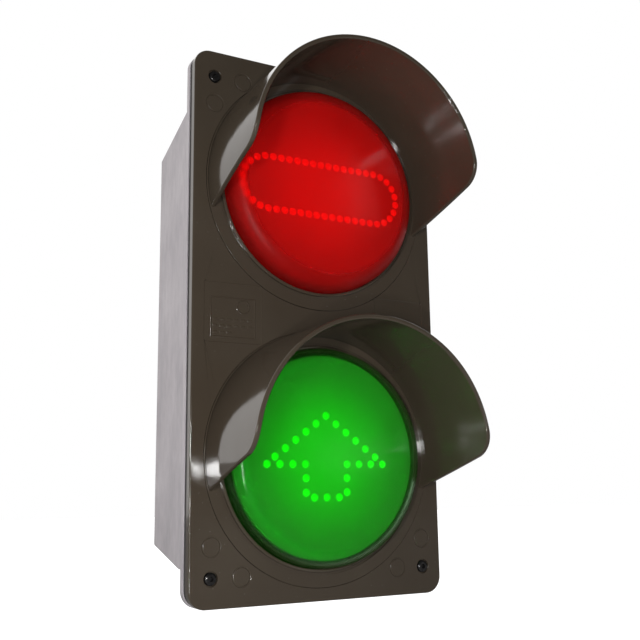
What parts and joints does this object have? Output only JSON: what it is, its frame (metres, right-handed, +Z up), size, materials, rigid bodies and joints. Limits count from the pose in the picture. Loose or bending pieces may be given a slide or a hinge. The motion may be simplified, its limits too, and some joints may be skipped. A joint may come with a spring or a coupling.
{
  "type": "traffic signal head",
  "caption": "Wall-mounted traffic signal head: red over green LED aspects with cut-away visors on a screwed front cover, over a grey sheet metal back box.",
  "frame": {"origin": "centre of the four rear mounting holes, on the rear mounting face", "axes": "+X to the right as seen from the front, +Y out of the rear face towards the wall, +Z up"},
  "size_m": [0.182, 0.1665, 0.356],
  "materials": {
    "cover_plastic": "satin gloss dark brown-grey",
    "red_lens_plastic": "clear glossy red",
    "green_lens_plastic": "clear glossy green",
    "red_lamp": "clear red",
    "green_lamp": "clear green",
    "red_mask": "matt red",
    "green_mask": "matt green",
    "circuit_board": "green solder mask",
    "sheet_metal": "mill finish, mottled",
    "gasket_foam": "dark closed-cell foam",
    "black_rubber": "matt",
    "black_screw": "black oxide, oiled",
    "zinc_steel": "zinc plated",
    "nylon_white": "natural nylon",
    "nylon_black": "black nylon",
    "brass_part": "plain",
    "resistor_body": "lacquer",
    "component_black": "moulded",
    "wire_red": "PVC",
    "wire_green": "PVC",
    "wire_black": "PVC"
  },
  "bodies": {
    "box": {"back_box": "sheet_metal", "entry_bushing": "nylon_black", "power_supply_case": "sheet_metal", "power_supply_lid": "sheet_metal", "power_supply_board": "circuit_board", "power_supply_parts": "component_black", "wall_studs": "zinc_steel", "wall_nuts": "zinc_steel", "terminal_block": "nylon_white", "terminal_screws": "zinc_steel", "input_leads": "wire_black", "earth_stud": "brass_part", "earth_washer": "zinc_steel", "earth_nut": "brass_part", "earth_ring_terminal": "brass_part", "earth_lead": "wire_green", "red_leads": "wire_red", "green_leads": "wire_green", "red_plug": "nylon_white", "green_plug": "nylon_white"},
    "cover": {"front_cover": "cover_plastic", "cover_gasket": "gasket_foam", "cover_screws": "black_screw", "red_visor": "cover_plastic", "green_visor": "cover_plastic", "visor_screws": "zinc_steel", "red_lens": "red_lens_plastic", "green_lens": "green_lens_plastic", "red_lens_gasket": "black_rubber", "green_lens_gasket": "black_rubber", "red_lens_retainer": "nylon_black", "green_lens_retainer": "nylon_black", "retainer_screws": "zinc_steel", "red_led_board": "circuit_board", "green_led_board": "circuit_board", "red_led_mask": "red_mask", "green_led_mask": "green_mask", "red_leds": "red_lamp", "green_leds": "green_lamp", "board_screws": "zinc_steel", "red_resistors": "resistor_body", "green_resistors": "resistor_body", "red_header": "nylon_white", "green_header": "nylon_white", "header_pins": "brass_part"}
  },
  "joints": [
    {"name": "cover_pull", "type": "slide", "parent": "box", "child": "cover", "axis": [0, -1, 0], "range_m": [0, 0.12]}
  ]
}
